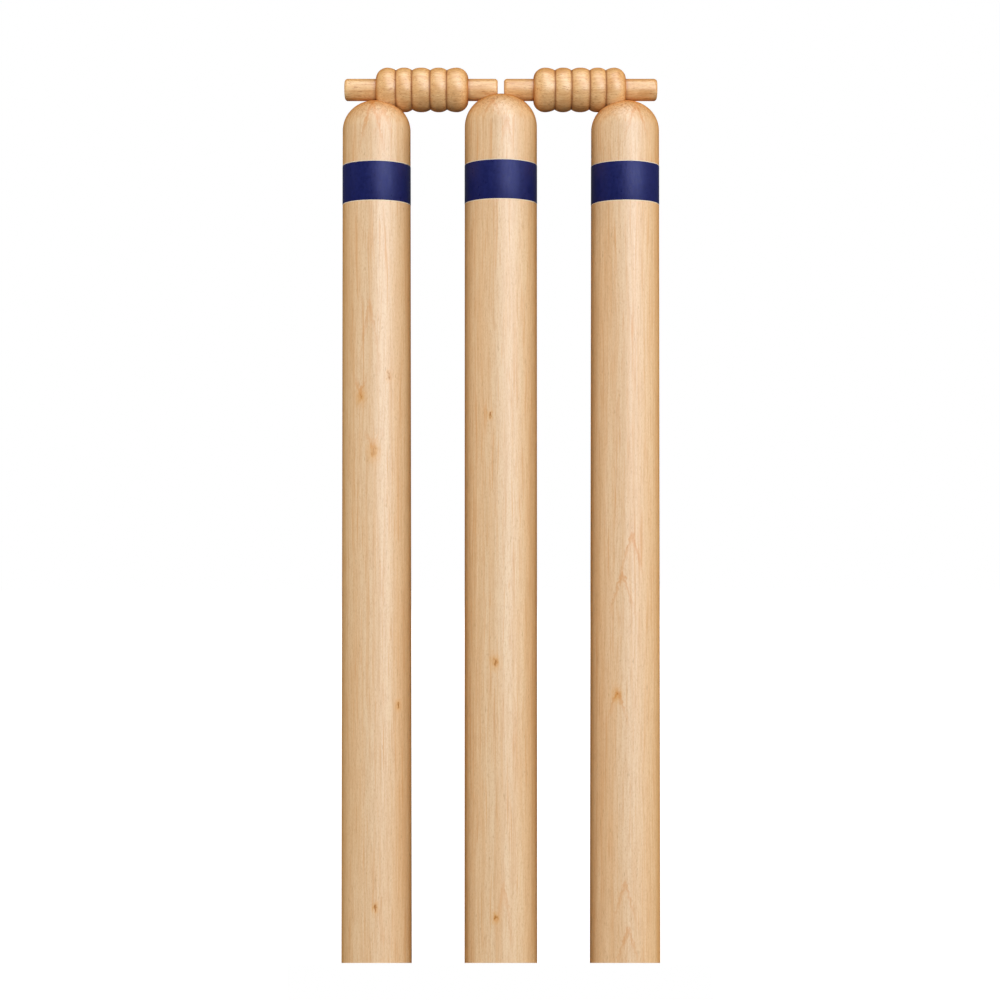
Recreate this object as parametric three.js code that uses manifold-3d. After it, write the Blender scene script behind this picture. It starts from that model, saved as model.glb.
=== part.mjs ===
import * as THREE from 'three';
import { mergeVertices } from 'three/addons/utils/BufferGeometryUtils.js';
import Module from 'manifold-3d';

// A wicket: three turned wooden stumps in a row, with two turned bails lying across their crowns.
// Millimetres, +Z up, X along the row. The origin is on the middle stump's axis, at the ground line.

// Size of the whole wicket
const wicketWidth = 228.6;
const stumpHeight = 711.2;
const outerCrownDrop = 4.6;

// Stump shafts, each tapering slightly from the ground up to the foot of its crown
const middleLowRadius = 26.05;
const middleTopRadius = 25.85;
const middleCrownHeight = 23.5;
const outerLowRadius = 25.3;
const outerTopRadius = 24.25;
const outerCrownHeight = 22;
const crownFullness = 2.05;

// Pointed toe that is driven into the ground
const toeLength = 101.6;
const toeCollar = 18;
const toeTipRadius = 5;

// Coloured wraps, each lying in a shallow turned recess and standing a little proud of the wood
const bandHeight = 27.6;
const middleBandDepth = 51.1;
const outerBandDepth = 47.2;
const bandThickness = 0.5;
const bandProud = 0.12;
const bandGap = 0.3;

// Bails
const barrelLength = 66;
const barrelRadius = 15.6;
const barrelEndRounding = 8.4;
const spigotRadius = 7.8;
const outerSpigotLength = 22.45;
const innerSpigotLength = 21.05;
const spigotEndRounding = 2.2;
const beadGrooveDepth = 1.8;
const bailEndGap = 4.5;

// Seats that the bails lie in
const seatDepth = 4.8;
const seatGap = 0.3;
const cutOverrun = 10;

// Places along a bead and along the barrel, from the outer end to the inner end of a bail
const beadFullness = 2.4;
const beadWidthShares = [0.218, 0.174, 0.196, 0.179, 0.233];
const beadStationShares = [0, 0.1, 0.25, 0.5, 0.75, 0.9];
const endBeadStationShares = [0, 0.02, 0.07, 0.15, 0.26, 0.4, 0.55, 0.75, 0.9];

const stumpSides = 48;
const bailSides = 32;
const crownSteps = 10;
const roundingSteps = 4;

const outerAxisX = wicketWidth / 2 - outerLowRadius;
const bailLength = outerSpigotLength + barrelLength + innerSpigotLength;
const bailAxisZ = stumpHeight - seatDepth + seatGap + spigotRadius;

const wasm = await Module();
wasm.setup();

const point = (radius, along) => new THREE.Vector2(radius, along);

// One material for each surface: pale satin stump wood, warmer bail wood, navy vinyl
const finish = (color, roughness) => new THREE.MeshStandardMaterial({ color, roughness, metalness: 0 });
const stumpWood = () => finish(0xe2bf97, 0.5);
const bailWood = () => finish(0xdcae7b, 0.45);
const navyVinyl = () => finish(0x242a5c, 0.42);

// A body turned about Z from an outline of (radius, height) points that runs upwards
function turnAboutZ(outline, sides) {
  return new THREE.LatheGeometry(outline, sides).rotateX(Math.PI / 2);
}

// The same about X, for an outline of (radius, distance) points that runs towards +X
function turnAboutX(outline, sides) {
  return new THREE.LatheGeometry(outline, sides).rotateZ(-Math.PI / 2);
}

// A closed solid for cutting, with shared vertices merged and the collapsed triangles on the axis left out
function toSolid(geometry) {
  const bare = geometry.clone();
  bare.deleteAttribute('normal');
  bare.deleteAttribute('uv');
  const merged = mergeVertices(bare);
  const index = merged.index.array;
  const triangles = [];
  for (let i = 0; i < index.length; i += 3) {
    const [a, b, c] = [index[i], index[i + 1], index[i + 2]];
    if (a !== b && b !== c && c !== a) {
      triangles.push(a, b, c);
    }
  }
  const vertProperties = new Float32Array(merged.attributes.position.array);
  const triVerts = new Uint32Array(triangles);
  return new wasm.Manifold(new wasm.Mesh({ numProp: 3, vertProperties, triVerts }));
}

function toGeometry(solid) {
  const mesh = solid.getMesh();
  const geometry = new THREE.BufferGeometry();
  geometry.setAttribute('position', new THREE.BufferAttribute(mesh.vertProperties, 3));
  geometry.setIndex(new THREE.BufferAttribute(mesh.triVerts, 1));
  geometry.computeVertexNormals();
  return geometry;
}

// What differs between the middle stump and the outer two, with the shaft's radius at any height
function stumpForm(topZ, lowRadius, topRadius, crownHeight, bandDepth) {
  const crownFootZ = topZ - crownHeight;
  const radiusAt = (z) => lowRadius + ((topRadius - lowRadius) * z) / crownFootZ;
  const bandTopZ = topZ - bandDepth;
  return { lowRadius, topRadius, crownHeight, crownFootZ, radiusAt, bandTopZ, bandFootZ: bandTopZ - bandHeight };
}

// The recess takes the wrap, its gap to the wood on three sides, and leaves the wrap just proud
function recessRadiusAt(form, z) {
  return form.radiusAt(z) + bandProud - bandThickness - bandGap;
}

function crownOutline(form) {
  const points = [];
  for (let step = 1; step < crownSteps; step += 1) {
    const turn = ((Math.PI / 2) * step) / crownSteps;
    const radius = form.topRadius * Math.cos(turn) ** (2 / crownFullness);
    const rise = form.crownHeight * Math.sin(turn) ** (2 / crownFullness);
    points.push(point(radius, form.crownFootZ + rise));
  }
  points.push(point(0, form.crownFootZ + form.crownHeight));
  return points;
}

function stumpBlank(form) {
  const recessFootZ = form.bandFootZ - bandGap;
  const recessTopZ = form.bandTopZ + bandGap;
  const outline = [
    point(0, -toeLength),
    point(toeTipRadius, -toeLength),
    point(form.lowRadius, -toeCollar),
    point(form.lowRadius, 0),
    point(form.radiusAt(recessFootZ), recessFootZ),
    point(recessRadiusAt(form, recessFootZ), recessFootZ),
    point(recessRadiusAt(form, recessTopZ), recessTopZ),
    point(form.radiusAt(recessTopZ), recessTopZ),
    point(form.topRadius, form.crownFootZ),
    ...crownOutline(form),
  ];
  return turnAboutZ(outline, stumpSides);
}

function bandGeometry(form) {
  const innerRadiusAt = (z) => recessRadiusAt(form, z) + bandGap;
  const outerRadiusAt = (z) => innerRadiusAt(z) + bandThickness;
  const outline = [
    point(innerRadiusAt(form.bandFootZ), form.bandFootZ),
    point(outerRadiusAt(form.bandFootZ), form.bandFootZ),
    point(outerRadiusAt(form.bandTopZ), form.bandTopZ),
    point(innerRadiusAt(form.bandTopZ), form.bandTopZ),
    point(innerRadiusAt(form.bandFootZ), form.bandFootZ),
  ];
  return turnAboutZ(outline, stumpSides);
}

// The barrel's end beads round down to the spigots; this is that rounding's radius along the barrel.
// The beads' widths can add up to a hair more than the barrel, so the last station counts as its end.
function endRoundingRadius(along) {
  const fromEnd = Math.max(0, Math.min(along, barrelLength - along));
  const left = Math.max(0, 1 - fromEnd / barrelEndRounding);
  return spigotRadius + (barrelRadius - spigotRadius) * Math.sqrt(1 - left ** 2);
}

function barrelOutline() {
  const points = [];
  const lastBead = beadWidthShares.length - 1;
  const lastEndShares = endBeadStationShares.map((share) => 1 - share).reverse();
  let beadStart = 0;
  beadWidthShares.forEach((widthShare, bead) => {
    const width = widthShare * barrelLength;
    const firstShares = bead === 0 ? endBeadStationShares : beadStationShares;
    const stationShares = bead === lastBead ? [0, ...lastEndShares] : firstShares;
    for (const stationShare of stationShares) {
      const along = beadStart + stationShare * width;
      const fromCrown = Math.abs(2 * stationShare - 1);
      const beadRadius = barrelRadius - beadGrooveDepth * fromCrown ** beadFullness;
      const radius = Math.min(beadRadius, endRoundingRadius(along));
      points.push(point(radius, outerSpigotLength + along));
    }
    beadStart += width;
  });
  return points;
}

// The rounded rim of a spigot's end, from its flat face to its side
function spigotRim() {
  const points = [];
  for (let step = 0; step <= roundingSteps; step += 1) {
    const turn = ((Math.PI / 2) * step) / roundingSteps;
    const radius = spigotRadius - spigotEndRounding * (1 - Math.sin(turn));
    points.push(point(radius, spigotEndRounding * (1 - Math.cos(turn))));
  }
  return points;
}

function bailGeometry() {
  const outerRim = spigotRim();
  const innerRim = outerRim.map(({ x, y }) => point(x, bailLength - y)).reverse();
  const outline = [point(0, 0), ...outerRim, ...barrelOutline(), ...innerRim, point(0, bailLength)];
  return turnAboutX(outline, bailSides);
}

// The space that a bail needs in a crown: its spigots and plain barrel, larger by the seat's gap all over
function bailSeatSolid() {
  const rounding = [];
  for (let step = 0; step <= roundingSteps; step += 1) {
    const turn = ((Math.PI / 2) * step) / roundingSteps;
    const along = barrelEndRounding * (1 - Math.cos(turn)) - seatGap;
    const rise = (barrelRadius - spigotRadius) * Math.sin(turn);
    rounding.push(point(spigotRadius + seatGap + rise, along));
  }
  const outline = [
    point(0, -cutOverrun),
    point(spigotRadius + seatGap, -cutOverrun),
    ...rounding.map(({ x, y }) => point(x, outerSpigotLength + y)),
    ...rounding.map(({ x, y }) => point(x, outerSpigotLength + barrelLength - y)).reverse(),
    point(spigotRadius + seatGap, bailLength + cutOverrun),
    point(0, bailLength + cutOverrun),
  ];
  return toSolid(turnAboutX(outline, bailSides));
}

// A bail's geometry starts at its outer end; this puts it on the left (side -1) or the right (side 1)
function bailPlace(side) {
  const place = new THREE.Object3D();
  place.position.set(side * (bailEndGap / 2 + bailLength), 0, bailAxisZ);
  place.rotation.z = side > 0 ? Math.PI : 0;
  place.updateMatrix();
  return place;
}

function seatedStump(form, axisX) {
  let solid = toSolid(stumpBlank(form)).translate([axisX, 0, 0]);
  for (const side of [-1, 1]) {
    solid = solid.subtract(bailSeatSolid().transform(bailPlace(side).matrix.elements));
  }
  return toGeometry(solid.translate([-axisX, 0, 0]));
}

function named(name, geometry, material, axisX) {
  const mesh = new THREE.Mesh(geometry, material);
  mesh.name = name;
  mesh.position.x = axisX;
  return mesh;
}

function stumpWithBand(sideName, form, axisX) {
  const group = new THREE.Group();
  group.add(named(`${sideName}_stump`, seatedStump(form, axisX), stumpWood(), axisX));
  group.add(named(`${sideName}_band`, bandGeometry(form), navyVinyl(), axisX));
  return group;
}

function bail(sideName, side) {
  const mesh = new THREE.Mesh(bailGeometry(), bailWood());
  const place = bailPlace(side);
  mesh.name = `${sideName}_bail`;
  mesh.position.copy(place.position);
  mesh.rotation.copy(place.rotation);
  return mesh;
}

const middleForm = stumpForm(
  stumpHeight,
  middleLowRadius,
  middleTopRadius,
  middleCrownHeight,
  middleBandDepth,
);
const outerForm = stumpForm(
  stumpHeight - outerCrownDrop,
  outerLowRadius,
  outerTopRadius,
  outerCrownHeight,
  outerBandDepth,
);

const wicket = new THREE.Group();
wicket.add(stumpWithBand('left', outerForm, -outerAxisX));
wicket.add(stumpWithBand('middle', middleForm, 0));
wicket.add(stumpWithBand('right', outerForm, outerAxisX));
wicket.add(bail('left', -1));
wicket.add(bail('right', 1));

export default wicket;
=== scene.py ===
import math

import bmesh
import bpy
from mathutils import Matrix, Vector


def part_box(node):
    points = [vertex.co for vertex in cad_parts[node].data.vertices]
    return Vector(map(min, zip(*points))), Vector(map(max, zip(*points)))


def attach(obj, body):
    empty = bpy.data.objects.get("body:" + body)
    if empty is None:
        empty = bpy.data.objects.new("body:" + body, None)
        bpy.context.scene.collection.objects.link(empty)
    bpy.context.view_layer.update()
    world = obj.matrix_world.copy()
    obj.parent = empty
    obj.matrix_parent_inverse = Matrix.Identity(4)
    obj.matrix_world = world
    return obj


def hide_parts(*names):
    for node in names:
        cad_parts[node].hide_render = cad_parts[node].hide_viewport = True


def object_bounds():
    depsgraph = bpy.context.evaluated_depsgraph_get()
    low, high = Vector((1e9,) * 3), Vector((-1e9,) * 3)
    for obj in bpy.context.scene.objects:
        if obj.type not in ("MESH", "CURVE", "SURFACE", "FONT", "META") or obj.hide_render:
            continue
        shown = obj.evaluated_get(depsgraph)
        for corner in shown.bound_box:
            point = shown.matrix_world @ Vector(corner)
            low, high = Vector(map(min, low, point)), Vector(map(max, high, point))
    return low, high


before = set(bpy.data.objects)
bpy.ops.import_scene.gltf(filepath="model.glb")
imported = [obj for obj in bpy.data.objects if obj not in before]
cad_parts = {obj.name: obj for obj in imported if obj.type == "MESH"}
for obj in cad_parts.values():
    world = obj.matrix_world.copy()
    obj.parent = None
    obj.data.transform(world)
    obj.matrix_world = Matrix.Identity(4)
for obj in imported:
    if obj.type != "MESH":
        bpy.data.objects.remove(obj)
cad_low, cad_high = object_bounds()

# Stumps
# Each is one length of pale ash, turned on a lathe: a pointed toe to drive into the ground, a long shaft
# that thins slightly upwards, and a domed crown with a sanded seat for the bails cut across it. The outer
# two are a little thinner than the middle one. Sizes are in metres, unless their name says mm.
stump_height = 0.7112
outer_crown_drop = 0.0046
middle_top_radius = 0.02585
middle_low_radius = 0.02605
middle_crown_height = 0.0235
outer_top_radius = 0.02425
outer_low_radius = 0.0253
outer_crown_height = 0.022
crown_fullness = 2.05
crown_rings = 90

toe_length = 0.1016
toe_collar = 0.018
toe_tip_radius = 0.005
toe_tip_edge = 0.0006
toe_shoulder_blend = 0.006
toe_shoulder_rings = 4
shaft_ring_spacing = 0.02
stump_steps = 256

# The shallow turned recess that takes the coloured wrap
band_height = 0.0276
middle_band_depth = 0.0511
outer_band_depth = 0.0472
band_gap = 0.0003
band_thickness = 0.0005
band_proud = 0.00012
recess_lip = 0.0001

# The bails' own sizes, which the seats in the crowns follow
spigot_radius = 0.0078
barrel_radius = 0.0156
barrel_length = 0.066
barrel_end_rounding = 0.0084
inner_spigot_length = 0.02105
outer_spigot_length = 0.02245
bail_end_gap = 0.0045
seat_depth = 0.0048
seat_gap = 0.0003
seat_lip_softness = 0.0007
bail_axis_z = stump_height - seat_depth + seat_gap + spigot_radius
bail_length = outer_spigot_length + barrel_length + inner_spigot_length

sharp_angle = math.radians(32)
pole_merge = 1e-6


def spun(outline, centre, direction, steps):
    """A turned body: a chain of points spun a full turn about an axis, closed at its poles, faces out."""
    made = bmesh.new()
    corners = [made.verts.new(place) for place in outline]
    chain = [made.edges.new(pair) for pair in zip(corners, corners[1:])]
    bmesh.ops.spin(
        made,
        geom=corners + chain,
        cent=centre,
        axis=direction,
        angle=2 * math.pi,
        steps=steps,
        use_merge=True,
    )
    bmesh.ops.remove_doubles(made, verts=made.verts, dist=pole_merge)
    bmesh.ops.recalc_face_normals(made, faces=made.faces)
    return made


def finished(name, made):
    """Puts a bmesh into the scene as a piece, smooth shaded up to its sharp edges."""
    for face in made.faces:
        face.smooth = True
    for edge in made.edges:
        edge.smooth = edge.calc_face_angle(0.0) < sharp_angle
    mesh = bpy.data.meshes.new(name)
    made.to_mesh(mesh)
    made.free()
    piece = bpy.data.objects.new(name, mesh)
    bpy.context.collection.objects.link(piece)
    return piece


def bail_room_radius(x):
    """Radius of the round room that the bails need over the crowns, at a place across the wicket."""
    from_inner_end = abs(x) - bail_end_gap / 2
    from_barrel_end = min(
        from_inner_end - inner_spigot_length,
        inner_spigot_length + barrel_length - from_inner_end,
    )
    left = min(1.0, max(0.0, 1 - (from_barrel_end + seat_gap) / barrel_end_rounding))
    rise = (barrel_radius - spigot_radius) * math.sqrt(1 - left**2)
    return spigot_radius + seat_gap + rise


def seat_floor_z(x, y):
    """Height of the seat's surface below the bails; it rises to the bails' axis at the room's sides."""
    radius = bail_room_radius(x)
    return bail_axis_z - math.sqrt(max(0.0, radius**2 - y**2))


def softly_lower(crown_z, seat_z):
    """The lower of two heights, with the meeting edge rounded over."""
    share = min(1.0, max(0.0, 0.5 + 0.5 * (seat_z - crown_z) / seat_lip_softness))
    return crown_z * share + seat_z * (1 - share) - seat_lip_softness * share * (1 - share)


def stump_form(top_z, low_radius, top_radius, crown_height, band_depth):
    """One stump's radii and heights. The recess is longer than its band by the gap at each end."""
    band_top_z = top_z - band_depth
    return {
        "top_z": top_z,
        "low_radius": low_radius,
        "top_radius": top_radius,
        "crown_height": crown_height,
        "crown_foot_z": top_z - crown_height,
        "recess_foot_z": band_top_z - band_height - band_gap,
        "recess_top_z": band_top_z + band_gap,
    }


def shaft_radius(form, z):
    """Radius of the wood at a height: even below the ground line, then thinning up to the crown."""
    slope = (form["top_radius"] - form["low_radius"]) / form["crown_foot_z"]
    return form["low_radius"] + slope * max(0.0, z)


def stump_outline(form):
    """Radius and height from the toe's tip to the top of the crown."""
    foot_z, foot_radius = form["recess_foot_z"], shaft_radius(form, form["recess_foot_z"])
    top_z, top_radius = form["recess_top_z"], shaft_radius(form, form["recess_top_z"])
    recess_depth = band_thickness + band_gap - band_proud
    cone_slope = (form["low_radius"] - toe_tip_radius) / (toe_length - toe_collar)
    outline = [
        (0.0, -toe_length),
        (toe_tip_radius - toe_tip_edge, -toe_length),
        (toe_tip_radius, -toe_length + toe_tip_edge),
    ]
    for ring in range(toe_shoulder_rings + 1):
        blend = ring / toe_shoulder_rings
        along = (2 * blend - 1) * toe_shoulder_blend
        drop = cone_slope * toe_shoulder_blend * (1 - blend) ** 2
        outline.append((form["low_radius"] - drop, -toe_collar + along))
    for ring in range(int(foot_z / shaft_ring_spacing) + 1):
        z = ring * shaft_ring_spacing
        outline.append((shaft_radius(form, z), z))
    outline += [
        (foot_radius, foot_z - recess_lip),
        (foot_radius - recess_lip, foot_z),
        (foot_radius - recess_depth, foot_z),
        (top_radius - recess_depth, top_z),
        (top_radius - recess_lip, top_z),
        (top_radius, top_z + recess_lip),
    ]
    for ring in range(crown_rings):
        turn = 0.5 * math.pi * ring / crown_rings
        radius = form["top_radius"] * math.cos(turn) ** (2 / crown_fullness)
        rise = form["crown_height"] * math.sin(turn) ** (2 / crown_fullness)
        outline.append((radius, form["crown_foot_z"] + rise))
    outline.append((0.0, form["top_z"]))
    return outline


def turned_stump(name, form):
    """The turned body, with the bails' seats cut into its crown."""
    axis_x = form["axis_x"]
    outline = [(axis_x + radius, 0.0, z) for radius, z in stump_outline(form)]
    made = spun(outline, (axis_x, 0.0, 0.0), (0.0, 0.0, 1.0), stump_steps)
    for corner in made.verts:
        place = corner.co
        if place.z > bail_axis_z - barrel_radius - 2 * seat_lip_softness:
            place.z = softly_lower(place.z, seat_floor_z(place.x, place.y))
    return finished(name, made)


def linear(hex_code):
    """The linear colour of an sRGB hex code."""
    shares = [int(hex_code[i : i + 2], 16) / 255 for i in (1, 3, 5)]
    return tuple(
        share / 12.92 if share <= 0.04045 else ((share + 0.055) / 1.055) ** 2.4
        for share in shares
    ) + (1.0,)


def add(tree, kind, inputs, stops=(), **settings):
    """Adds a node with its settings, its inputs' values or links, and its ramp's two stops, if any."""
    node = tree.nodes.new(kind)
    for name, value in settings.items():
        setattr(node, name, value)
    for socket, value in inputs.items():
        if isinstance(value, bpy.types.NodeSocket):
            tree.links.new(value, node.inputs[socket])
        else:
            node.inputs[socket].default_value = value
    for count, (place, colour) in enumerate(stops):
        stop = node.color_ramp.elements[count]
        stop.position = place
        stop.color = linear(colour)
    return node


mm_per_metre = 1000


def emptied_tree(owner):
    """The node tree of a material or of the world, without the nodes that it comes with."""
    owner.use_nodes = True
    owner.node_tree.nodes.clear()
    return owner.node_tree


def millimetres_from(tree, centre):
    """A piece's own coordinates in mm, counted from a centre that is given in metres."""
    place = add(tree, "ShaderNodeTexCoord", {}).outputs["Object"]
    offset = [-side * mm_per_metre for side in centre]
    return add(
        tree,
        "ShaderNodeMapping",
        {"Vector": place, "Location": offset, "Scale": [mm_per_metre] * 3},
    ).outputs[0]


def grain(tree, place, cell_mm, detail, roughness=0.6):
    """A pattern of uneven marks, each about as big as the cell."""
    squeezed = add(
        tree,
        "ShaderNodeMapping",
        {"Vector": place, "Scale": [1 / side for side in cell_mm]},
    ).outputs[0]
    return add(
        tree,
        "ShaderNodeTexNoise",
        {"Vector": squeezed, "Scale": 1.0, "Detail": detail, "Roughness": roughness},
    )


def in_the_log(tree, millimetres, log_place_mm, cell_mm, sway_mm):
    """Where in its log a point was cut, and the same place pushed to and fro, as the grain wanders."""
    log_place = add(
        tree, "ShaderNodeVectorMath", {0: millimetres, 1: log_place_mm}, operation="ADD"
    ).outputs[0]
    sway = grain(tree, log_place, cell_mm, 2.0, roughness=0.5).outputs["Color"]
    wandering = add(
        tree,
        "ShaderNodeVectorMath",
        {0: sway, 1: sway_mm, 2: log_place},
        operation="MULTIPLY_ADD",
    ).outputs[0]
    return log_place, wandering


def grained(tree, place, colour, marks):
    """Lays marks over a colour. Each kind has a cell in mm, a raggedness, the pattern's levels at which
    it begins and is full, a strength, and its own colour."""
    for cell_mm, detail, begin, full, strength, stain in marks:
        pattern = grain(tree, place, cell_mm, detail).outputs["Fac"]
        share = add(
            tree,
            "ShaderNodeMapRange",
            {"Value": pattern, "From Min": begin, "From Max": full, "To Max": strength},
        ).outputs[0]
        colour = add(
            tree, "ShaderNodeMix", {0: share, 6: colour, 7: linear(stain)}, data_type="RGBA"
        ).outputs[2]
    return colour


cool_sheen = "#E4EAFF"
amber_coat = "#FDF3E1"


# Turned ash, sanded and lacquered to a satin sheen. The eye sees soft upright streaks where the lathe has
# cut along the growth rings, thin orange lines of late wood, fine fibres and short brown pores, end grain
# that has drunk more lacquer on the crown, and here and there an orange pin knot or an arch of late wood.
# The amber lacquer is a tinted coat, deeper towards the edges; the gloss is the shader's own.
def lacquered_ash(name, form):
    material = bpy.data.materials.new(name)
    tree = emptied_tree(material)
    millimetres = millimetres_from(tree, (form["axis_x"], 0.0, 0.0))

    # The grain wanders a few millimetres sideways over a hand's length of the log
    log_place, wandering = in_the_log(
        tree, millimetres, form["log_place_mm"], cell_mm=(28, 28, 130), sway_mm=(5.0, 5.0, 0.0)
    )

    # Real fibres and pores are under 0.3 mm wide; they are drawn up to three times as wide, to show
    ash_marks = (
        # Soft streaks
        ((9.0, 9.0, 260.0), 2.0, 0.40, 0.66, 0.45, "#E5C39D"),
        ((5.0, 5.0, 150.0), 2.0, 0.52, 0.74, 0.4, "#D9BA95"),
        # Lines of late wood
        ((2.4, 2.4, 110.0), 3.0, 0.50, 0.68, 0.35, "#E1B380"),
        ((1.1, 1.1, 70.0), 2.0, 0.58, 0.70, 0.6, "#DBA266"),
        # Fibres, and the mottle of their cut ends
        ((1.0, 1.0, 14.0), 3.0, 0.48, 0.70, 0.38, "#D0A47B"),
        ((0.7, 0.7, 1.8), 2.0, 0.46, 0.76, 0.4, "#CCA072"),
        # Pores
        ((0.8, 0.8, 5.0), 1.0, 0.66, 0.76, 0.45, "#B58A5F"),
    )
    colour = grained(tree, wandering, linear(form["pale_wood"]), ash_marks)

    # Growth rings round a pith that lies off the stump's axis. They show most on the crown's end grain,
    # which is also darker all over. At a scale of 1 the wave repeats every pi / 10.
    rings_on_shaft, rings_added_on_crown, crown_stain = 0.12, 0.4, 0.4
    about_pith = add(
        tree,
        "ShaderNodeMapping",
        {"Vector": wandering, "Location": form["pith_mm"], "Rotation": form["pith_lean"]},
    ).outputs[0]
    rings = add(
        tree,
        "ShaderNodeTexWave",
        {"Vector": about_pith, "Scale": math.pi / 10 / form["ring_spacing_mm"]},
        wave_type="RINGS",
        rings_direction="Z",
        wave_profile="SAW",
    ).outputs["Fac"]
    late_wood = add(
        tree,
        "ShaderNodeMapRange",
        {"Value": rings, "From Min": 0.45, "From Max": 0.95},
        interpolation_type="SMOOTHSTEP",
    ).outputs[0]
    height_mm = add(tree, "ShaderNodeSeparateXYZ", {0: millimetres}).outputs["Z"]
    end_grain = add(
        tree,
        "ShaderNodeMapRange",
        {
            "Value": height_mm,
            "From Min": form["crown_foot_z"] * mm_per_metre,
            "From Max": form["top_z"] * mm_per_metre,
        },
        interpolation_type="SMOOTHSTEP",
    ).outputs[0]
    ring_strength = add(
        tree,
        "ShaderNodeMath",
        {0: end_grain, 1: rings_added_on_crown, 2: rings_on_shaft},
        operation="MULTIPLY_ADD",
    ).outputs[0]
    ring_share = add(
        tree, "ShaderNodeMath", {0: late_wood, 1: ring_strength}, operation="MULTIPLY"
    ).outputs[0]
    crown_share = add(
        tree, "ShaderNodeMath", {0: end_grain, 1: crown_stain}, operation="MULTIPLY"
    ).outputs[0]

    # The lathe opens short pores across the crown's end grain
    pores = grain(tree, wandering, (1.3, 1.3, 2.2), 2.0).outputs["Fac"]
    open_pores = add(
        tree, "ShaderNodeMapRange", {"Value": pores, "From Min": 0.51, "From Max": 0.61, "To Max": 0.85}
    ).outputs[0]
    pore_share = add(
        tree, "ShaderNodeMath", {0: end_grain, 1: open_pores}, operation="MULTIPLY"
    ).outputs[0]
    for share, stain in ((ring_share, "#D09B67"), (crown_share, "#E2B383"), (pore_share, "#B4763C")):
        colour = add(
            tree, "ShaderNodeMix", {0: share, 6: colour, 7: linear(stain)}, data_type="RGBA"
        ).outputs[2]

    # Pin knots and arches have ragged edges, pushed about a millimetre to and fro; the noise itself seldom
    # goes further than a fifth of this from its middle
    push_mm = (4.5, 4.5, 9.0)
    push = grain(tree, log_place, (1.8, 1.8, 3.5), 3.0, roughness=0.5).outputs["Color"]
    centred_push = add(
        tree, "ShaderNodeVectorMath", {0: push, 1: (0.5, 0.5, 0.5)}, operation="SUBTRACT"
    ).outputs[0]
    pushed = add(
        tree,
        "ShaderNodeVectorMath",
        {0: centred_push, 1: push_mm, 2: millimetres},
        operation="MULTIPLY_ADD",
    ).outputs[0]
    surface_mm = form["low_radius"] * mm_per_metre

    # A knot is longer up and down than across, and darkens from its halo to its eye
    knot_squeeze = (1.0, 1.0, 0.6)
    for angle, height, halo_mm, eye_mm in form["knots"]:
        turn = math.radians(angle)
        centre = (surface_mm * math.sin(turn), -surface_mm * math.cos(turn), height)
        offset = add(
            tree, "ShaderNodeVectorMath", {0: pushed, 1: centre}, operation="SUBTRACT"
        ).outputs[0]
        flattened = add(
            tree, "ShaderNodeVectorMath", {0: offset, 1: knot_squeeze}, operation="MULTIPLY"
        ).outputs[0]
        distance = add(
            tree, "ShaderNodeVectorMath", {0: flattened}, operation="LENGTH"
        ).outputs["Value"]
        stains = (
            (halo_mm, 0.42, "#E0A245"),
            (0.45 * halo_mm, 0.62, "#D08C22"),
            (eye_mm, 0.9, "#A0620F"),
        )
        for reach_mm, strength, stain in stains:
            share = add(
                tree,
                "ShaderNodeMapRange",
                {
                    "Value": distance,
                    "From Min": 0.0,
                    "From Max": reach_mm,
                    "To Min": strength,
                    "To Max": 0.0,
                },
                interpolation_type="SMOOTHSTEP",
            ).outputs[0]
            colour = add(
                tree, "ShaderNodeMix", {0: share, 6: colour, 7: linear(stain)}, data_type="RGBA"
            ).outputs[2]

    # Arches: a late-wood line that the lathe cuts twice and that closes at a peak. From the peak, given by
    # its angle and height, the two legs run down and apart by the spread, and fade out. A leg is sharp on its
    # outer side, within 1 mm, and fades over 2.4 mm on its inner one. The wood's far side gets none of it.
    for angle, height, spread, leg_mm, strength in form["arches"]:
        turn = math.radians(angle)
        peak = (surface_mm * math.sin(turn), 0.0, height)
        offset = add(
            tree, "ShaderNodeVectorMath", {0: pushed, 1: peak}, operation="SUBTRACT"
        ).outputs[0]
        sides = add(tree, "ShaderNodeSeparateXYZ", {0: offset})
        across = add(
            tree, "ShaderNodeCombineXYZ", {"X": sides.outputs["X"], "Y": 1.0}
        ).outputs[0]
        rounded = add(tree, "ShaderNodeVectorMath", {0: across}, operation="LENGTH").outputs["Value"]
        below = add(
            tree,
            "ShaderNodeMath",
            {0: sides.outputs["Z"], 1: -spread, 2: 1.0},
            operation="MULTIPLY_ADD",
        ).outputs[0]
        inside = add(
            tree, "ShaderNodeMath", {0: below, 1: rounded}, operation="SUBTRACT"
        ).outputs[0]
        line = add(
            tree,
            "ShaderNodeMapRange",
            {"Value": inside, "From Min": -0.8, "From Max": 0.2, "To Max": strength},
            interpolation_type="SMOOTHSTEP",
        ).outputs[0]
        soft_inside = add(
            tree,
            "ShaderNodeMapRange",
            {"Value": inside, "From Min": 0.2, "From Max": 2.6, "To Min": 1.0, "To Max": 0.0},
            interpolation_type="SMOOTHERSTEP",
        ).outputs[0]
        fade = add(
            tree,
            "ShaderNodeMapRange",
            {"Value": sides.outputs["Z"], "From Min": -leg_mm, "From Max": 0.0},
            interpolation_type="SMOOTHSTEP",
        ).outputs[0]
        own_side = add(
            tree,
            "ShaderNodeMath",
            {0: sides.outputs["Y"], 1: 0.0},
            operation="LESS_THAN" if math.cos(turn) > 0 else "GREATER_THAN",
        ).outputs[0]
        share = line
        for factor in (soft_inside, fade, own_side):
            share = add(
                tree, "ShaderNodeMath", {0: share, 1: factor}, operation="MULTIPLY"
            ).outputs[0]
        colour = add(
            tree, "ShaderNodeMix", {0: share, 6: colour, 7: linear("#D48A36")}, data_type="RGBA"
        ).outputs[2]

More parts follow.
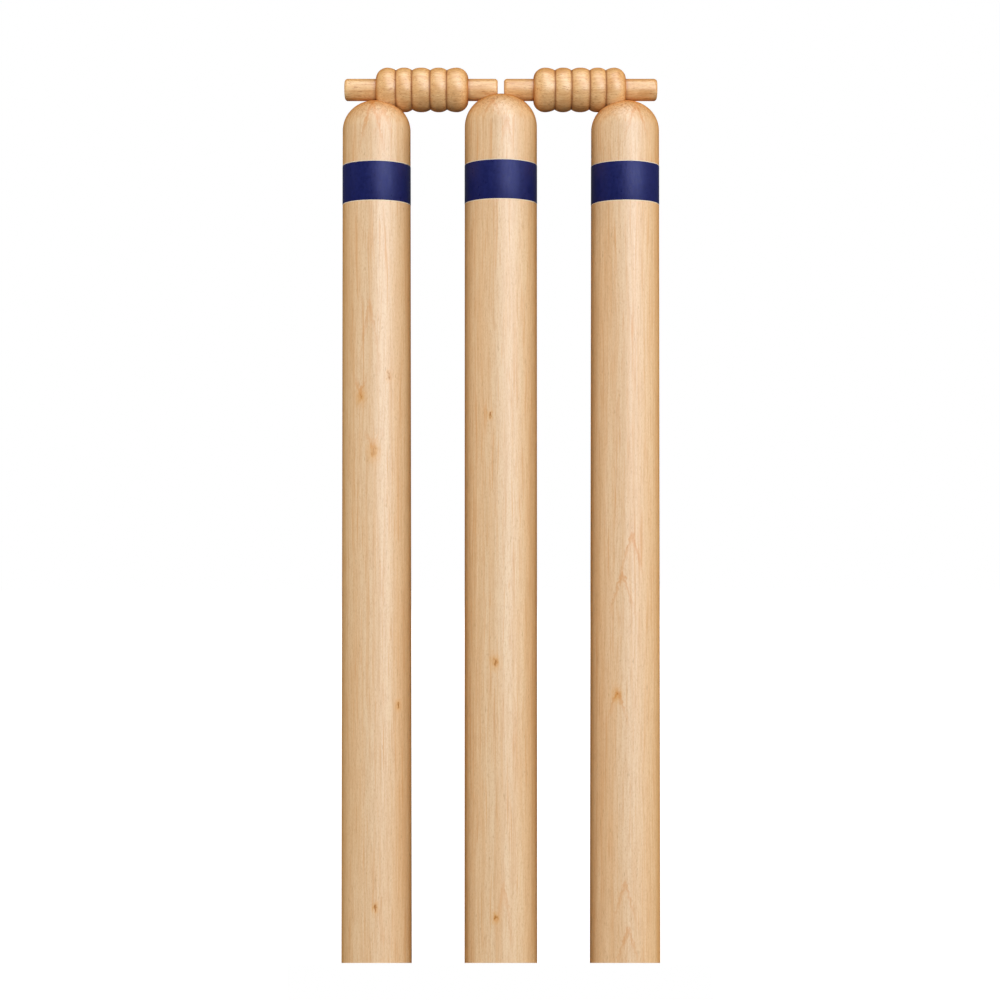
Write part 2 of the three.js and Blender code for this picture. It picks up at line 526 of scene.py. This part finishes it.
    fibres = grain(tree, wandering, (0.8, 0.8, 10.0), 3.0).outputs["Fac"]
    relief = add(
        tree, "ShaderNodeBump", {"Height": fibres, "Strength": 0.1, "Distance": 0.0002}
    ).outputs[0]
    lacquer = add(
        tree,
        "ShaderNodeBsdfPrincipled",
        {
            "Base Color": colour,
            "Roughness": 0.45,
            "IOR": 1.5,
            "Specular IOR Level": 0.9,
            "Specular Tint": linear(cool_sheen),
            "Coat Weight": 1.0,
            "Coat IOR": 1.01,
            "Coat Roughness": 0.5,
            "Coat Tint": linear(amber_coat),
            "Normal": relief,
        },
    ).outputs[0]
    add(tree, "ShaderNodeOutputMaterial", {"Surface": lacquer})
    return material


middle_form = stump_form(
    stump_height, middle_low_radius, middle_top_radius, middle_crown_height, middle_band_depth
)
outer_form = stump_form(
    stump_height - outer_crown_drop,
    outer_low_radius,
    outer_top_radius,
    outer_crown_height,
    outer_band_depth,
)

# Each stump comes from its own place in the log, with its own pith. A knot is given by its angle from the
# front in degrees, its height above the ground line in mm, and the reach of its halo and its eye in mm. An
# arch has an angle, a height in mm, the spread of its legs, their length in mm and a strength; where the
# spread and the length are negative, the legs run up.
stumps = {
    "left": {
        **outer_form,
        "pale_wood": "#EED8BE",
        "log_place_mm": (11.0, 47.0, 130.0),
        "pith_mm": (38.0, -58.0, 0.0),
        "pith_lean": (0.004, 0.006, 0.0),
        "ring_spacing_mm": 3.4,
        "knots": [
            (-23, 493.7, 7.0, 1.3),
            (24, 507.8, 4.0, 2.0),
            (-1, 454.8, 8.0, 1.9),
            (41, 275.6, 4.5, 1.2),
            (2, 133.8, 4.0, 1.4),
            (155, 330.0, 8.0, 1.8),
            (-120, 590.0, 6.0, 1.6),
        ],
        "arches": [
            (-4, 703.5, 0.24, 52.0, 0.55),
            (14, 697.0, 0.3, 30.0, 0.35),
            (-8, 560.0, 0.16, 60.0, 0.3),
            (-23, 496.0, -0.35, -16.0, 0.45),
            (-3, 458.0, -0.5, -14.0, 0.35),
        ],
    },
    "middle": {
        **middle_form,
        "pale_wood": "#EED9BF",
        "log_place_mm": (83.0, 5.0, 610.0),
        "pith_mm": (-30.0, -66.0, 0.0),
        "pith_lean": (0.003, -0.005, 0.0),
        "ring_spacing_mm": 3.0,
        "knots": [
            (-17, 480.9, 3.5, 1.5),
            (-9, 306.7, 6.5, 1.5),
            (-8, 126.9, 5.0, 1.0),
            (140, 210.0, 7.0, 1.7),
        ],
        "arches": [
            (-13, 703.5, 0.45, 18.0, 0.45),
            (9, 690.0, 0.2, 30.0, 0.35),
            (4, 150.0, 0.15, 50.0, 0.3),
        ],
    },
    "right": {
        **outer_form,
        "pale_wood": "#EED7BD",
        "log_place_mm": (29.0, 91.0, 1040.0),
        "pith_mm": (6.0, -52.0, 0.0),
        "pith_lean": (-0.01, 0.0, 0.0),
        "ring_spacing_mm": 2.8,
        "knots": [
            (-17, 283.5, 6.5, 1.3),
            (170, 450.0, 7.0, 1.7),
        ],
        "arches": [
            (15, 700.5, 0.34, 34.0, 0.5),
            (7, 397.1, 0.27, 42.0, 0.5),
            (-8, 369.2, 0.3, 38.0, 0.5),
            (-16, 287.0, 0.3, 30.0, 0.45),
            (-4, 151.4, 0.28, 42.0, 0.4),
            (1, 119.6, 0.3, 42.0, 0.4),
            (175, 520.0, 0.28, 60.0, 0.5),
        ],
    },
}
for side, form in stumps.items():
    low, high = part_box(f"{side}_stump")
    form["axis_x"] = (low.x + high.x) / 2
    stump = turned_stump(f"{side}_stump_turned", form)
    stump.data.materials.append(lacquered_ash(f"lacquered_ash_{side}", form))
    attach(stump, f"{side}_stump")
    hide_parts(f"{side}_stump")

# Bands
# A strip of navy vinyl is wrapped round each stump in its recess, on a pale backing that shows as a fine
# line at both cut edges. The vinyl's edges are rolled slightly.
band_steps = 192
backing_edge = 0.00042
backing_sink = band_gap / 4
vinyl_edge_roll = 0.00016
vinyl_edge_rings = 3


def vinyl_end(form, z, inward):
    """From the backing's face round the vinyl's rolled edge; inward is 1 at the foot and -1 at the top."""
    outer_radius = shaft_radius(form, z) + band_proud
    chain = [(shaft_radius(form, z) - backing_sink, z)]
    for ring in range(vinyl_edge_rings + 1):
        turn = 0.5 * math.pi * ring / vinyl_edge_rings
        radius = outer_radius - vinyl_edge_roll * (1 - math.sin(turn))
        chain.append((radius, z + inward * vinyl_edge_roll * (1 - math.cos(turn))))
    return chain


def wrap_outline(form):
    """A closed chain: up the outside over backing and vinyl, and down the inside."""
    foot_z, foot_radius = form["recess_foot_z"], shaft_radius(form, form["recess_foot_z"])
    top_z, top_radius = form["recess_top_z"], shaft_radius(form, form["recess_top_z"])
    inside = band_thickness - band_proud
    return [
        (foot_radius - inside, foot_z),
        (foot_radius - backing_sink, foot_z),
        *vinyl_end(form, foot_z + backing_edge, 1),
        *reversed(vinyl_end(form, top_z - backing_edge, -1)),
        (top_radius - backing_sink, top_z),
        (top_radius - inside, top_z),
        (foot_radius - inside, foot_z),
    ]


# Calendered vinyl with a satin face. The eye sees a deep navy with a broad sheen, which is mottled over
# about 2 mm and broken by faint upright scuffs.
def navy_vinyl():
    material = bpy.data.materials.new("navy_vinyl")
    tree = emptied_tree(material)
    millimetres = millimetres_from(tree, (0.0, 0.0, 0.0))
    mottle = grain(tree, millimetres, (2.2, 2.2, 2.2), 4.0).outputs["Fac"]
    scuffs = grain(tree, millimetres, (0.7, 0.7, 6.0), 3.0).outputs["Fac"]
    colour = add(
        tree,
        "ShaderNodeValToRGB",
        {"Fac": mottle},
        stops=[(0.35, "#11184B"), (0.65, "#181F58")],
    ).outputs[0]
    unevenness = add(tree, "ShaderNodeMath", {0: mottle, 1: scuffs}, operation="ADD").outputs[0]
    roughness = add(
        tree,
        "ShaderNodeMapRange",
        {"Value": unevenness, "From Min": 0.7, "From Max": 1.3, "To Min": 0.26, "To Max": 0.58},
    ).outputs[0]
    relief = add(
        tree, "ShaderNodeBump", {"Height": unevenness, "Strength": 0.2, "Distance": 0.0003}
    ).outputs[0]
    vinyl = add(
        tree,
        "ShaderNodeBsdfPrincipled",
        {
            "Base Color": colour,
            "Roughness": roughness,
            "IOR": 1.53,
            "Specular IOR Level": 0.28,
            "Specular Tint": linear("#F0E0FF"),
            "Normal": relief,
        },
    ).outputs[0]
    add(tree, "ShaderNodeOutputMaterial", {"Surface": vinyl})
    return material


# The wrap's cut edge: matt cream paper. The eye sees a pale line, a little uneven from its 0.7 mm fibres.
def cream_backing():
    material = bpy.data.materials.new("cream_backing")
    tree = emptied_tree(material)
    place = add(tree, "ShaderNodeTexCoord", {}).outputs["Object"]
    fibre = add(
        tree, "ShaderNodeTexNoise", {"Vector": place, "Scale": 1500.0, "Detail": 2.0}
    ).outputs["Fac"]
    colour = add(
        tree,
        "ShaderNodeValToRGB",
        {"Fac": fibre},
        stops=[(0.3, "#EBD6BA"), (0.7, "#F4E6D0")],
    ).outputs[0]
    paper = add(
        tree, "ShaderNodeBsdfPrincipled", {"Base Color": colour, "Roughness": 0.7, "IOR": 1.5}
    ).outputs[0]
    add(tree, "ShaderNodeOutputMaterial", {"Surface": paper})
    return material


vinyl_face = navy_vinyl()
backing_face = cream_backing()
for side, form in stumps.items():
    axis_x = form["axis_x"]
    outline = [(axis_x + radius, 0.0, z) for radius, z in wrap_outline(form)]
    made = spun(outline, (axis_x, 0.0, 0.0), (0.0, 0.0, 1.0), band_steps)
    vinyl_foot_z = form["recess_foot_z"] + backing_edge
    vinyl_top_z = form["recess_top_z"] - backing_edge
    for face in made.faces:
        is_vinyl = vinyl_foot_z <= face.calc_center_median().z <= vinyl_top_z
        face.material_index = 0 if is_vinyl else 1
    wrap = finished(f"{side}_band_wrap", made)
    wrap.data.materials.append(vinyl_face)
    wrap.data.materials.append(backing_face)
    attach(wrap, f"{side}_stump")
    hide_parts(f"{side}_band")

# Bails
# Each bail is turned from one piece of beech: a barrel of five beads parted by grooves, and a round spigot at
# each end. Its grooves are painted darker brown, partly the tool's burn and partly painted shade, and its
# barrel's feet carry painted shade. A bail lies loose in its seats.
bead_groove_depth = 0.0018
bead_fullness = 2.4
bead_width_shares = [0.218, 0.174, 0.196, 0.179, 0.233]
spigot_end_rounding = 0.0022
spigot_end_rings = 8
bail_steps = 144
bead_rings = 28
same_place = 1e-9


def bail_radius(along):
    """The bail's radius at a distance from its outer end."""
    from_barrel_foot = along - outer_spigot_length
    if 0 <= from_barrel_foot <= barrel_length:
        bead_start = 0.0
        for share in bead_width_shares:
            bead_width = share * barrel_length
            if from_barrel_foot <= bead_start + bead_width + same_place:
                break
            bead_start += bead_width
        from_crown = abs(2 * (from_barrel_foot - bead_start) / bead_width - 1)
        bead = barrel_radius - bead_groove_depth * from_crown**bead_fullness
        from_end = min(from_barrel_foot, barrel_length - from_barrel_foot)
        left = max(0.0, 1 - from_end / barrel_end_rounding)
        rounding = spigot_radius + (barrel_radius - spigot_radius) * math.sqrt(1 - left**2)
        return min(bead, rounding)
    from_tip = min(along, bail_length - along)
    left = max(0.0, 1 - from_tip / spigot_end_rounding)
    rim = spigot_end_rounding * (1 - math.sqrt(1 - left**2))
    return spigot_radius - rim


def bail_stations():
    """Distances from the outer end at which the outline has a point, closer together on the curves."""
    rim = [
        spigot_end_rounding * (1 - math.cos(0.5 * math.pi * ring / spigot_end_rings))
        for ring in range(spigot_end_rings + 1)
    ]
    stations = rim + [outer_spigot_length * share for share in (0.3, 0.5, 0.7, 0.9, 0.97)]
    bead_start = outer_spigot_length
    for share in bead_width_shares:
        width = share * barrel_length
        for ring in range(bead_rings):
            turn = math.pi * ring / bead_rings
            stations.append(bead_start + 0.5 * width * (1 - math.cos(turn)))
        bead_start += width
    stations.append(bead_start)
    inner_start = outer_spigot_length + barrel_length
    stations += [inner_start + inner_spigot_length * share for share in (0.03, 0.1, 0.3, 0.5, 0.7)]
    return stations + [bail_length - along for along in reversed(rim)]


# Oiled beech, warmer than the stumps. The eye sees grain along the bail, cut into arcs on the beads, brown
# flecks of the wood's rays, and grooves and bead foots painted darker: burn and painted shade in the grooves,
# painted shade at the foots.
def oiled_beech(name, log_place_mm):
    material = bpy.data.materials.new(name)
    tree = emptied_tree(material)
    millimetres = millimetres_from(tree, (0.0, 0.0, bail_axis_z))
    _, wandering = in_the_log(
        tree, millimetres, log_place_mm, cell_mm=(50, 14, 14), sway_mm=(0.0, 3.0, 3.0)
    )

    # Fibres and ray flecks, like the ash's, are drawn wider than the real ones, so that they show
    beech_marks = (
        # Soft clouds and streaks
        ((14.0, 9.0, 9.0), 2.0, 0.46, 0.66, 0.42, "#DDA66B"),
        ((90.0, 5.0, 5.0), 2.0, 0.44, 0.68, 0.4, "#E0AE74"),
        # Lines of grain and fibres
        ((40.0, 1.7, 1.7), 3.0, 0.50, 0.68, 0.5, "#D39A62"),
        ((10.0, 0.9, 0.9), 3.0, 0.48, 0.72, 0.38, "#C98945"),
        # Mottle and ray flecks
        ((1.8, 0.7, 0.7), 2.0, 0.48, 0.78, 0.42, "#C47C33"),
        ((4.0, 0.8, 0.8), 1.0, 0.60, 0.72, 0.6, "#AE6420"),
    )
    flecked = grained(tree, wandering, linear("#F5D4A7"), beech_marks)

    # The painted shade and burn follow the mesh's own measure of how deep a point lies in a groove or bead
    # foot
    burn_and_shade = add(tree, "ShaderNodeAttribute", {}, attribute_name="burn_and_shade").outputs["Fac"]
    burnt_and_shaded = add(
        tree,
        # Brown painted shade and burn, mixed over the grain in the grooves and at the barrel's feet
        "ShaderNodeMix",
        {0: burn_and_shade, 6: flecked, 7: linear("#9A5B2E")},
        data_type="RGBA",
    ).outputs[2]
    fibres = grain(tree, wandering, (10.0, 0.9, 0.9), 3.0).outputs["Fac"]
    relief = add(
        tree, "ShaderNodeBump", {"Height": fibres, "Strength": 0.14, "Distance": 0.0002}
    ).outputs[0]
    oil = add(
        tree,
        "ShaderNodeBsdfPrincipled",
        {
            "Base Color": burnt_and_shaded,
            "Roughness": 0.4,
            "IOR": 1.5,
            "Specular IOR Level": 0.9,
            "Specular Tint": linear(cool_sheen),
            "Coat Weight": 1.0,
            "Coat IOR": 1.01,
            "Coat Roughness": 0.5,
            "Coat Tint": linear(amber_coat),
            "Normal": relief,
        },
    ).outputs[0]
    add(tree, "ShaderNodeOutputMaterial", {"Surface": oil})
    return material


# Reaches and strengths of the painted shade and burn in the grooves, and of the painted shade at the barrel's
# feet
groove_burn_and_shade_reach = 0.0013
foot_shade_reach = 0.003
foot_shade = 0.8
deepest_burn_and_shade = 0.85
burn_and_shade_falloff = 1.3


def burn_and_shade_share(along):
    """How dark the burn and painted shade make the wood at a distance from the outer end, from 0 to 1."""
    from_barrel_foot = along - outer_spigot_length
    darkest = 0.0
    groove = 0.0
    for share in bead_width_shares[:-1]:
        groove += share * barrel_length
        darkest = max(darkest, 1 - abs(from_barrel_foot - groove) / groove_burn_and_shade_reach)
    for foot in (0.0, barrel_length):
        darkest = max(darkest, foot_shade * (1 - abs(from_barrel_foot - foot) / foot_shade_reach))
    return deepest_burn_and_shade * max(0.0, darkest) ** burn_and_shade_falloff


# The two bails are turned end for end: outward is the way along X from a bail's inner to its outer end
bails = {
    "left": {"outward": -1, "log_place_mm": (310.0, 17.0, 44.0)},
    "right": {"outward": 1, "log_place_mm": (740.0, 61.0, 9.0)},
}
for side, bail in bails.items():
    outward = bail["outward"]
    outer_x = outward * (bail_end_gap / 2 + bail_length)
    outline = [(outer_x, 0.0, bail_axis_z)]
    for along in bail_stations():
        outline.append((outer_x - outward * along, 0.0, bail_axis_z + bail_radius(along)))
    outline.append((outer_x - outward * bail_length, 0.0, bail_axis_z))
    made = spun(outline, (0.0, 0.0, bail_axis_z), (1.0, 0.0, 0.0), bail_steps)
    # Each point's painted shade and burn is kept as a mesh attribute
    burn_and_shade_layer = made.verts.layers.float.new("burn_and_shade")
    for corner in made.verts:
        corner[burn_and_shade_layer] = burn_and_shade_share(abs(outer_x - corner.co.x))
    turned = finished(f"{side}_bail_turned", made)
    turned.data.materials.append(oiled_beech(f"oiled_beech_{side}", bail["log_place_mm"]))
    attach(turned, f"{side}_bail")
    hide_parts(f"{side}_bail")

# Studio
# The stumps stand on their toes on a pale floor before a white background, lit by large soft lamps. The
# camera stands level with the middle of the shafts, as in the photograph.
floor_half = 9.0
made = bmesh.new()
bmesh.ops.create_grid(made, x_segments=1, y_segments=1, size=floor_half)
bmesh.ops.translate(made, verts=made.verts, vec=(0.0, 0.0, cad_low.z))
studio_floor = finished("studio_floor", made)

# Matt pale paper. Near the stumps the lamps light it, so that it holds their shadow; further out its own
# glow rises to the background's white. It throws little light back up under the bails.
pure_white = linear("#FFFFFF")
material = bpy.data.materials.new("pale_paper_floor")
tree = emptied_tree(material)
seen = add(tree, "ShaderNodeLightPath", {}).outputs["Is Camera Ray"]
place = add(tree, "ShaderNodeTexCoord", {}).outputs["Object"]
from_middle = add(tree, "ShaderNodeVectorMath", {0: place}, operation="LENGTH").outputs["Value"]
glow = add(
    tree,
    "ShaderNodeMapRange",
    {"Value": from_middle, "From Min": 0.15, "From Max": 0.75, "To Min": 0.84, "To Max": 1.0},
    interpolation_type="SMOOTHSTEP",
).outputs[0]
glow_seen = add(tree, "ShaderNodeMath", {0: glow, 1: seen}, operation="MULTIPLY").outputs[0]
paper = add(tree, "ShaderNodeMapRange", {"Value": seen, "To Min": 0.08, "To Max": 0.18}).outputs[0]
matt = add(tree, "ShaderNodeBsdfDiffuse", {"Color": paper}).outputs[0]
lift = add(tree, "ShaderNodeEmission", {"Color": pure_white, "Strength": glow_seen}).outputs[0]
both = add(tree, "ShaderNodeAddShader", {0: matt, 1: lift}).outputs[0]
add(tree, "ShaderNodeOutputMaterial", {"Surface": both})
studio_floor.data.materials.append(material)

# The camera sees white all round, while the pieces get only a faint even light from it
world = bpy.data.worlds.new("white_studio")
bpy.context.scene.world = world
tree = emptied_tree(world)
path = add(tree, "ShaderNodeLightPath", {})
seen = add(
    tree,
    "ShaderNodeMath",
    {0: path.outputs["Is Camera Ray"], 1: path.outputs["Is Transmission Ray"]},
    operation="MAXIMUM",
).outputs[0]
strength = add(
    tree, "ShaderNodeMapRange", {"Value": seen, "To Min": 0.13, "To Max": 1.0}
).outputs[0]
white_all_round = add(
    tree, "ShaderNodeBackground", {"Color": pure_white, "Strength": strength}
).outputs[0]
add(tree, "ShaderNodeOutputWorld", {"Surface": white_all_round})

lamp_distance = 7.0
softbox_tint = (0.65, 0.83, 1.0)


def soft_lamp(name, azimuth, elevation, width, height, level):
    """An area lamp that faces the wicket. Its azimuth runs from the camera's side to the right, and its
    level is how bright a white card at the wicket would be, facing it."""
    lamp = bpy.data.lights.new(name, "AREA")
    lamp.shape = "RECTANGLE"
    lamp.size = width
    lamp.size_y = height
    lamp.energy = level * math.pi**2 * lamp_distance**2
    stand = bpy.data.objects.new(name, lamp)
    bpy.context.collection.objects.link(stand)
    turn, lift = math.radians(azimuth), math.radians(elevation)
    aim = (cad_low + cad_high) / 2
    away = (math.sin(turn) * math.cos(lift), -math.cos(turn) * math.cos(lift), math.sin(lift))
    stand.location = [centre + lamp_distance * share for centre, share in zip(aim, away)]
    stand.rotation_euler = (math.radians(90) - lift, 0.0, turn)
    stand.visible_camera = False
    return stand


# A broad key lamp in front, a lamp at each side and one behind light the wood evenly and leave no highlight.
# Two cool softboxes draw the sheen alone: one a little to the right, and one high up for crowns and bails.
for lamp in (
    soft_lamp("key_lamp", azimuth=7, elevation=17, width=4.6, height=3.2, level=0.83),
    soft_lamp("right_lamp", azimuth=82, elevation=20, width=3.7, height=3.7, level=0.53),
    soft_lamp("left_lamp", azimuth=-78, elevation=20, width=3.7, height=3.7, level=0.42),
    soft_lamp("back_lamp", azimuth=180, elevation=25, width=3.0, height=3.0, level=0.65),
):
    lamp.visible_glossy = False
for lamp in (
    soft_lamp("sheen_lamp", azimuth=31, elevation=16, width=6.2, height=4.2, level=0.95),
    soft_lamp("high_sheen_lamp", azimuth=15, elevation=62, width=5.0, height=6.0, level=1.0),
):
    lamp.visible_diffuse = False
    lamp.data.color = softbox_tint

camera_height = 0.4206
camera_side = -0.0006
camera_distance = 1.275
focal_length_px = 1778.6
picture_px = 1000
nearest_seen = 0.001
lens = bpy.data.cameras.new("camera")
lens.sensor_width = 36.0
lens.lens = focal_length_px * lens.sensor_width / picture_px
lens.clip_start = nearest_seen
camera = bpy.data.objects.new("camera", lens)
bpy.context.collection.objects.link(camera)
camera.location = (camera_side, -camera_distance, camera_height)
camera.rotation_euler = (math.radians(90), 0.0, 0.0)
bpy.context.scene.camera = camera

# The photograph is cropped a hand's width above the ground and set on white. A white card 3 mm before the
# lens crops the picture at the same row, and leaves the stumps whole in every other view.
crop_row_px = 963
card_distance = 0.003
card_half_width = 0.00036
card_depth = 0.00008
crop_slope = (crop_row_px - picture_px / 2) / focal_length_px
made = bmesh.new()
bmesh.ops.create_grid(made, x_segments=1, y_segments=1, size=1.0)
bmesh.ops.scale(made, verts=made.verts, vec=(card_half_width, card_depth / 2, 1.0))
bmesh.ops.rotate(
    made,
    verts=made.verts,
    cent=(0.0, 0.0, 0.0),
    matrix=Matrix.Rotation(math.radians(90), 3, "X"),
)
bmesh.ops.translate(
    made,
    verts=made.verts,
    vec=(
        camera_side,
        card_distance - camera_distance,
        camera_height - card_distance * crop_slope - card_depth / 2,
    ),
)
lens_card = finished("lens_card", made)
material = bpy.data.materials.new("white_card")
tree = emptied_tree(material)
glow = add(tree, "ShaderNodeEmission", {"Color": pure_white, "Strength": 1.0}).outputs[0]
add(tree, "ShaderNodeOutputMaterial", {"Surface": glow})
lens_card.data.materials.append(material)

bpy.context.scene.view_settings.view_transform = "Standard"
